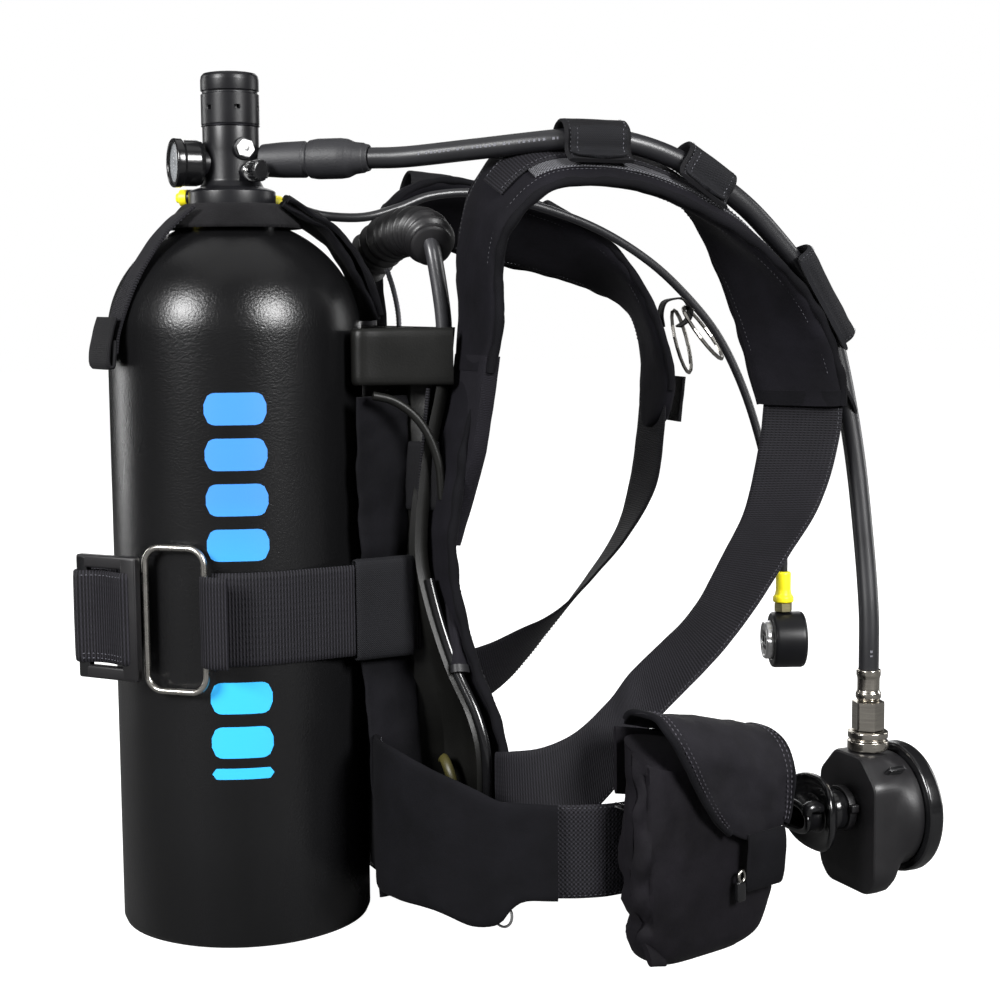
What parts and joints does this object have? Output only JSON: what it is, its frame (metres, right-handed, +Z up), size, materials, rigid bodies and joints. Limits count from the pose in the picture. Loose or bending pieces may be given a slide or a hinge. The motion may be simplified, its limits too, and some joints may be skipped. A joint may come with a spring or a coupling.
{
  "type": "breathing air pack",
  "caption": "Backpack breathing set: an upright air cylinder strapped to a padded harness frame, with a demand regulator, a hanging gauge and a belt pouch.",
  "frame": {"origin": "centre of the cylinder's flat base", "axes": "+Z up along the cylinder; +X the wearer's forward direction, from the cylinder to the shoulder straps; +Y the wearer's left"},
  "size_m": [0.5095, 0.3632, 0.473],
  "materials": {
    "cylinder": "matte black coating over aluminium",
    "valve_body": "black anodised",
    "top_cap": "black anodised",
    "piston": "satin nickel plating",
    "main_spring": "satin steel",
    "gauge_case": "black anodised",
    "gauge_lens": "clear window",
    "gauge_needle": "black anodised",
    "port_plug": "satin nickel plating",
    "fill_valve": "satin nickel plating",
    "fill_cap": "satin black moulded plastic",
    "pressure_port_cap": "yellow plastic",
    "lp_sleeve": "satin black rubber",
    "pressure_sleeve": "yellow plastic",
    "lp_hose": "satin black rubber",
    "pressure_hose": "satin black rubber",
    "lp_ferrule": "satin nickel plating",
    "lp_nut": "satin nickel plating",
    "inlet_fitting": "satin nickel plating",
    "regulator_case": "satin black moulded plastic",
    "demand_valve": "satin nickel plating",
    "demand_lever": "satin steel",
    "exhaust_valve": "satin black rubber",
    "diaphragm": "satin black rubber",
    "cover_ring": "satin black rubber",
    "purge_button": "satin black moulded plastic",
    "mouthpiece": "satin black rubber",
    "mouthpiece_tie": "satin black moulded plastic",
    "console_sleeve": "yellow plastic",
    "console_nut": "dull brass",
    "console_case": "satin black moulded plastic",
    "console_lens": "satin nickel plating",
    "console_needle": "black anodised",
    "back_plate": "satin black moulded plastic",
    "tank_saddle": "satin black moulded plastic",
    "back_pad": "black padded cloth",
    "carry_handle": "satin black moulded plastic",
    "handle_grip": "satin black rubber",
    "shoulder_pad_right": "black padded cloth",
    "shoulder_pad_left": "black padded cloth",
    "shoulder_webbing_right": "woven charcoal webbing",
    "shoulder_webbing_left": "woven charcoal webbing",
    "hose_keeper_rear": "woven charcoal webbing",
    "hose_keeper_front": "woven charcoal webbing",
    "hose_sleeve": "woven charcoal webbing",
    "strap_ring_front": "satin steel",
    "strap_ring_rear": "satin steel",
    "strap_tab": "woven charcoal webbing",
    "neck_strap": "woven charcoal webbing",
    "neck_strap_tail": "woven charcoal webbing",
    "cam_band": "woven charcoal webbing",
    "cam_ring": "satin steel",
    "cam_buckle": "satin black moulded plastic",
    "band_sleeve": "satin black rubber",
    "waist_belt_right": "woven charcoal webbing",
    "waist_belt_left": "woven charcoal webbing",
    "buckle_socket": "satin black moulded plastic",
    "buckle_plug": "satin black moulded plastic",
    "pouch": "black padded cloth",
    "pouch_flap": "black padded cloth"
  },
  "bodies": {
    "pack": {"cylinder": "cylinder", "valve_body": "valve_body", "piston": "piston", "main_spring": "main_spring", "gauge_case": "gauge_case", "gauge_lens": "gauge_lens", "port_plug": "port_plug", "fill_valve": "fill_valve", "pressure_port_cap": "pressure_port_cap", "lp_sleeve": "lp_sleeve", "pressure_sleeve": "pressure_sleeve", "lp_hose": "lp_hose", "pressure_hose": "pressure_hose", "lp_ferrule": "lp_ferrule", "lp_nut": "lp_nut", "console_sleeve": "console_sleeve", "back_plate": "back_plate", "tank_saddle": "tank_saddle", "back_pad": "back_pad", "carry_handle": "carry_handle", "handle_grip": "handle_grip", "shoulder_pad_right": "shoulder_pad_right", "shoulder_pad_left": "shoulder_pad_left", "shoulder_webbing_right": "shoulder_webbing_right", "shoulder_webbing_left": "shoulder_webbing_left", "hose_keeper_rear": "hose_keeper_rear", "hose_keeper_front": "hose_keeper_front", "hose_sleeve": "hose_sleeve", "strap_tab": "strap_tab", "neck_strap": "neck_strap", "neck_strap_tail": "neck_strap_tail", "cam_band": "cam_band", "band_sleeve": "band_sleeve", "waist_belt_right": "waist_belt_right", "waist_belt_left": "waist_belt_left", "buckle_socket": "buckle_socket", "buckle_plug": "buckle_plug", "pouch": "pouch"},
    "cap": {"top_cap": "top_cap"},
    "cylinder_pointer": {"gauge_needle": "gauge_needle"},
    "dust_cap": {"fill_cap": "fill_cap"},
    "second_stage": {"inlet_fitting": "inlet_fitting", "regulator_case": "regulator_case", "demand_valve": "demand_valve", "cover_ring": "cover_ring", "diaphragm": "diaphragm", "exhaust_valve": "exhaust_valve", "mouthpiece": "mouthpiece", "mouthpiece_tie": "mouthpiece_tie"},
    "purge": {"purge_button": "purge_button"},
    "lever": {"demand_lever": "demand_lever"},
    "console": {"console_nut": "console_nut", "console_case": "console_case", "console_lens": "console_lens"},
    "console_pointer": {"console_needle": "console_needle"},
    "buckle": {"cam_buckle": "cam_buckle"},
    "ring": {"cam_ring": "cam_ring"},
    "strap_ring_front": {"strap_ring_front": "strap_ring_front"},
    "strap_ring_rear": {"strap_ring_rear": "strap_ring_rear"},
    "flap": {"pouch_flap": "pouch_flap"}
  },
  "joints": [
    {"name": "cap_turn", "type": "hinge", "parent": "pack", "child": "cap", "pos_m": [0, 0, 0.455], "axis": [0, 0, 1], "range_deg": [0, 270]},
    {"name": "cylinder_pointer_turn", "type": "hinge", "parent": "pack", "child": "cylinder_pointer", "pos_m": [-0.0316, 0, 0.4236], "axis": [-1, 0, 0], "range_deg": [0, 270]},
    {"name": "dust_cap_pull", "type": "slide", "parent": "pack", "child": "dust_cap", "axis": [0.3, -0.9539, 0], "range_m": [0, 0.01]},
    {"name": "second_stage_swivel", "type": "hinge", "parent": "pack", "child": "second_stage", "pos_m": [0.328, -0.14, 0.06], "axis": [0, 0, 1], "range_deg": [-90, 90]},
    {"name": "purge_press", "type": "slide", "parent": "second_stage", "child": "purge", "axis": [-1, 0, 0], "range_m": [0, 0.003], "stiffness_N_per_m": 800},
    {"name": "lever_tilt", "type": "hinge", "parent": "second_stage", "child": "lever", "pos_m": [0.328, -0.14, 0.059], "axis": [0, 1, 0], "range_deg": [0, 12]},
    {"name": "console_swivel", "type": "hinge", "parent": "pack", "child": "console", "pos_m": [0.395, 0.055, 0.1165], "axis": [0, 0, 1], "range_deg": [-90, 90]},
    {"name": "console_pointer_turn", "type": "hinge", "parent": "console", "child": "console_pointer", "pos_m": [0.387, 0.05816, 0.1165], "axis": [-0.9302, 0.3671, 0], "range_deg": [0, 270]},
    {"name": "buckle_open", "type": "hinge", "parent": "pack", "child": "buckle", "pos_m": [-0.0935, -0.0125, 0.1805], "axis": [0, 0, 1], "range_deg": [-100, 0]},
    {"name": "ring_open", "type": "hinge", "parent": "pack", "child": "ring", "pos_m": [-0.039, -0.066, 0.1805], "axis": [0, 0, 1], "range_deg": [0, 35]},
    {"name": "strap_ring_front_swing", "type": "hinge", "parent": "pack", "child": "strap_ring_front", "pos_m": [0.334, 0.084, 0.342], "axis": [0.9136, -0.4067, 0], "range_deg": [-12, 20]},
    {"name": "strap_ring_rear_swing", "type": "hinge", "parent": "pack", "child": "strap_ring_rear", "pos_m": [0.3265, 0.0845, 0.34], "axis": [0.9136, -0.4067, 0], "range_deg": [-20, 20]},
    {"name": "flap_open", "type": "hinge", "parent": "pack", "child": "flap", "pos_m": [0.19271, -0.15561, 0.117], "axis": [-0.9414, -0.2522, 0.2241], "range_deg": [0, 60]}
  ],
  "couplings": [
    {"joint": "ring_open", "follows": "buckle_open", "ratio": -0.35},
    {"joint": "lever_tilt", "follows": "purge_press", "rad_per_m": 62.5}
  ]
}
